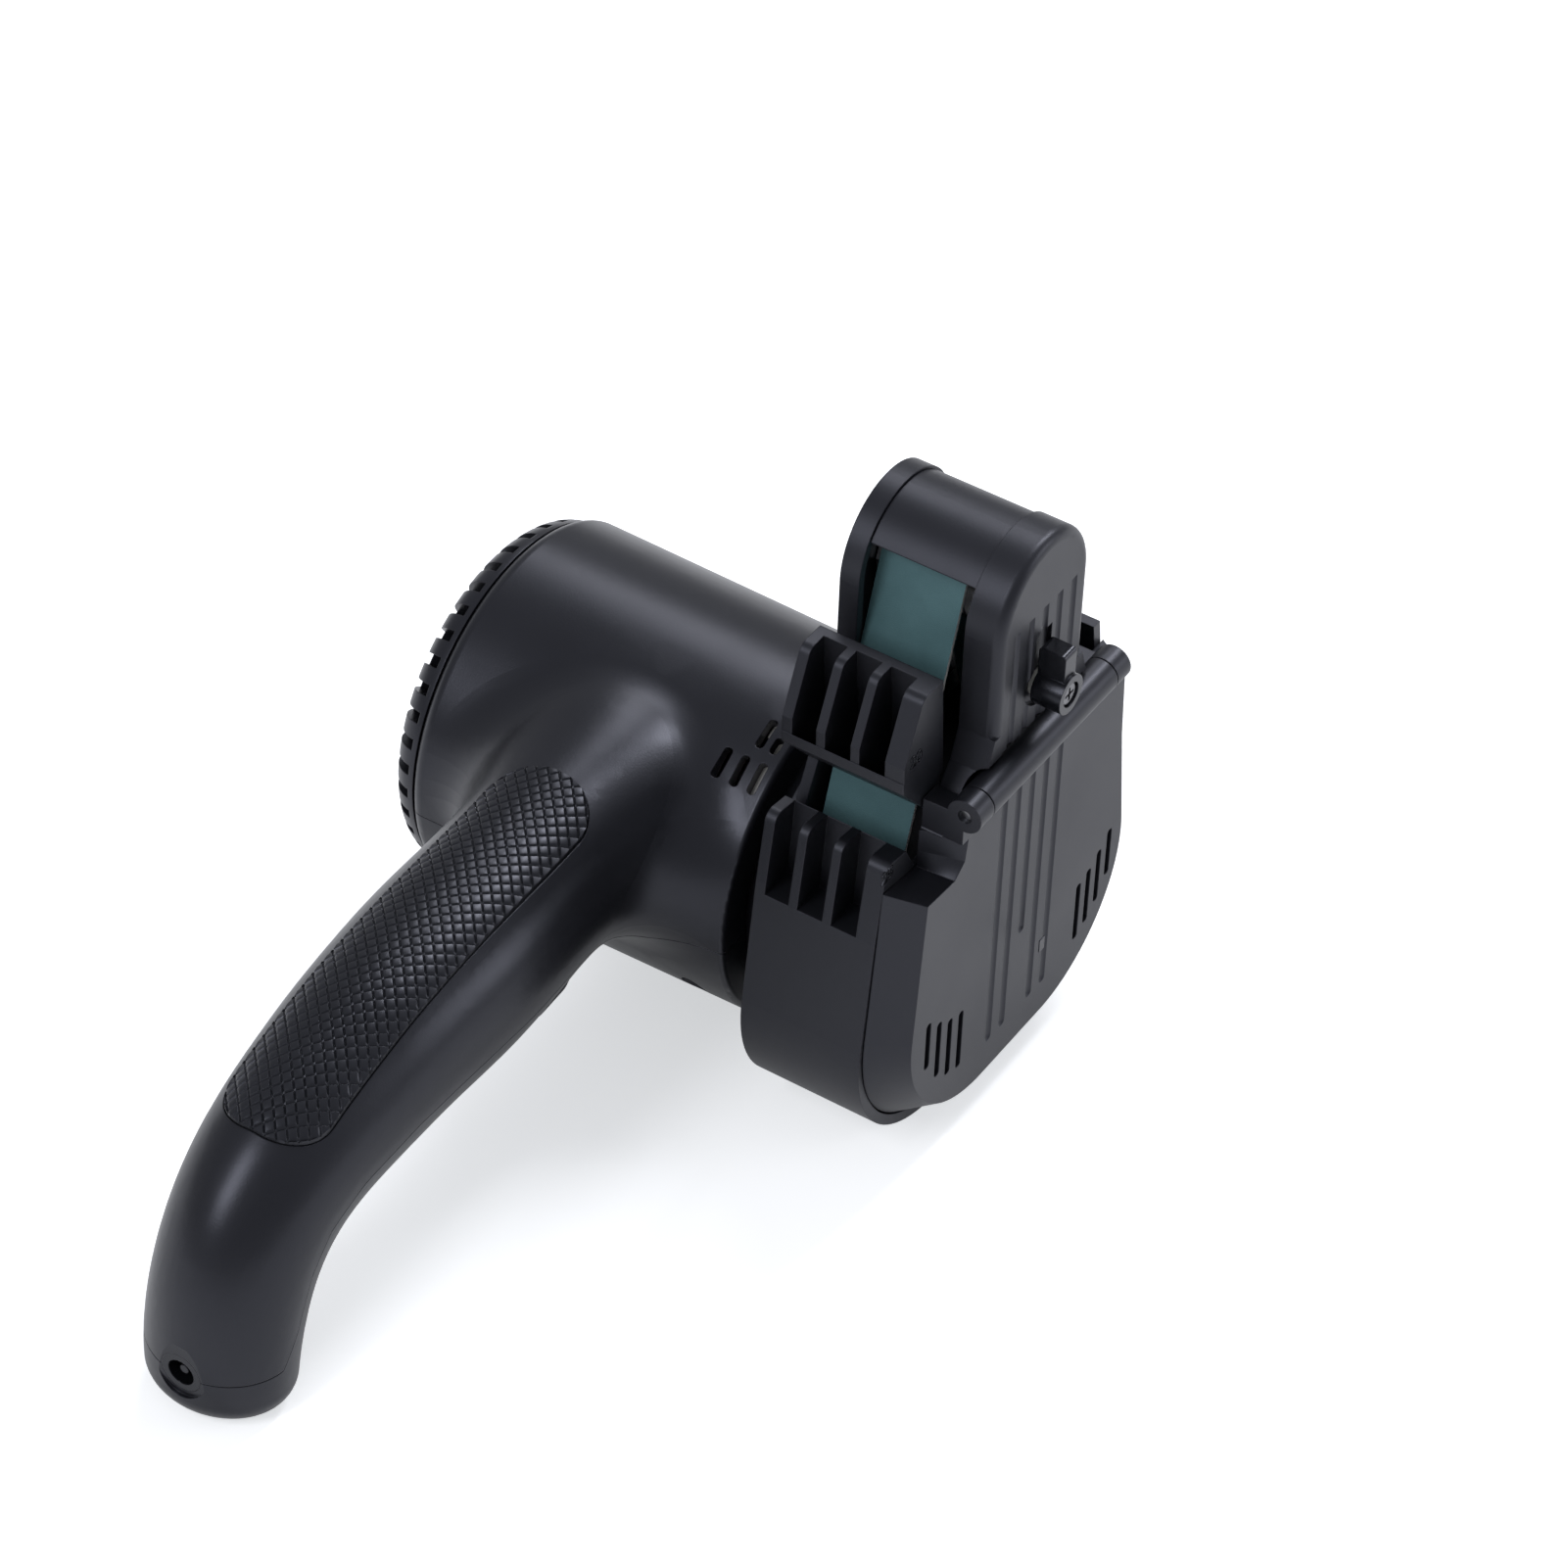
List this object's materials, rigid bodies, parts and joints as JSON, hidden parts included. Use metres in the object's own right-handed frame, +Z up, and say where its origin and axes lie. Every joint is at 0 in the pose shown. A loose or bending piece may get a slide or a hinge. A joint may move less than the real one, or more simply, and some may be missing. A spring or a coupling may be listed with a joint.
{
  "type": "electric knife sharpener",
  "caption": "Handheld electric belt sharpener for knives and scissors: round motor housing with a curved trigger handle and an upright belt head with slotted blade guides",
  "frame": {"origin": "Centre of the footprint on the surface that the sharpener stands on", "axes": "+Z up; the handle points to -X; the belt head faces -Y and the motor's end cap +Y"},
  "size_m": [0.2184, 0.136, 0.14],
  "materials": {
    "black_shell": "satin moulded, bluish black",
    "black_casing": "satin moulded, bluish black",
    "gloss_black": "glossier moulded black",
    "soft_grip": "soft matt with cross-hatching",
    "abrasive": "green-teal abrasive on cloth, light backing",
    "tyre_rubber": "smooth matt",
    "steel": "turned, brushed",
    "zinc_screw": "zinc plated",
    "spring_steel": "drawn wire",
    "lamination": "stacked sheet",
    "magnet": "matt ferrite",
    "copper": "enamelled copper",
    "carbon": "pressed carbon",
    "white_plastic": "glass-filled nylon",
    "sticker_white": "printed film, red arrow"
  },
  "bodies": {
    "housing": {"housing_upper": "black_shell", "housing_lower": "black_shell", "housing_screws": "zinc_screw", "grip_pad": "soft_grip", "rear_vent_ring": "black_shell", "rear_cap": "black_shell", "motor_mount": "white_plastic", "motor_screws": "zinc_screw", "motor_can": "steel", "motor_end_bell": "white_plastic", "motor_magnets": "magnet", "carbon_brushes": "carbon", "rear_bearing": "steel", "neck_bearing": "steel", "neck_collar": "black_shell", "head_screws": "zinc_screw", "head_back": "black_casing", "arrow_sticker": "sticker_white", "arch_cover": "black_casing", "cover_screws": "zinc_screw", "hinge_pin": "steel", "abrasive_belt": "abrasive", "guide_screws": "zinc_screw", "tension_spring": "spring_steel", "link_spring": "spring_steel", "trigger_pin": "steel", "trigger_spring": "spring_steel", "trigger_switch": "gloss_black", "power_jack": "gloss_black"},
    "rotor": {"motor_shaft": "steel", "rotor_core": "lamination", "rotor_windings": "copper", "commutator": "copper", "cooling_fan": "gloss_black", "drive_drum": "white_plastic", "drum_tyre": "tyre_rubber", "drum_screw": "zinc_screw"},
    "carriage": {"tension_carriage": "steel"},
    "idler_arm": {"idler_axle": "steel", "tracking_link": "steel", "idler_clip": "steel"},
    "idler": {"idler_pulley": "steel", "idler_bearings": "steel"},
    "tracking": {"tracking_cam": "white_plastic", "tracking_knob": "gloss_black", "knob_screw": "zinc_screw"},
    "release": {"release_cam": "steel", "release_lever": "gloss_black", "lever_screw": "zinc_screw"},
    "door": {"front_door": "black_casing"},
    "trigger": {"trigger": "black_shell"}
  },
  "joints": [
    {"name": "motor_spin", "type": "hinge", "parent": "housing", "child": "rotor", "pos_m": [0.06298, 0.00985, 0.04], "axis": [0, 1, 0], "continuous": true},
    {"name": "belt_release_slide", "type": "slide", "parent": "housing", "child": "carriage", "axis": [0, 0, -1], "range_m": [0, 0.003], "deforming": ["tension_spring", "link_spring"]},
    {"name": "idler_tilt", "type": "hinge", "parent": "carriage", "child": "idler_arm", "pos_m": [0.06298, -0.02785, 0.1245], "axis": [1, 0, 0], "range_deg": [-0.83, 0.83]},
    {"name": "idler_spin", "type": "hinge", "parent": "idler_arm", "child": "idler", "pos_m": [0.06298, -0.03855, 0.1245], "axis": [0, 1, 0], "continuous": true},
    {"name": "tracking_turn", "type": "hinge", "parent": "housing", "child": "tracking", "pos_m": [0.06298, -0.06115, 0.105], "axis": [0, 1, 0], "range_deg": [-45, 45]},
    {"name": "release_turn", "type": "hinge", "parent": "housing", "child": "release", "pos_m": [0.08568, -0.02415, 0.079], "axis": [0, 1, 0], "range_deg": [0, 80]},
    {"name": "door_swing", "type": "hinge", "parent": "housing", "child": "door", "pos_m": [0.06298, -0.06215, 0.091], "axis": [-1, 0, 0], "range_deg": [0, 95]},
    {"name": "trigger_pull", "type": "hinge", "parent": "housing", "child": "trigger", "pos_m": [0.01548, 0.01925, 0.0361], "axis": [0, 1, 0], "range_deg": [0, 6], "stiffness_Nm_per_rad": 0.8, "deforming": ["trigger_spring"]}
  ],
  "couplings": [
    {"joint": "idler_spin", "follows": "motor_spin", "ratio": 3.976},
    {"joint": "release_turn", "follows": "belt_release_slide", "rad_per_m": 465.42},
    {"joint": "tracking_turn", "follows": "idler_tilt", "ratio": 54.05}
  ]
}
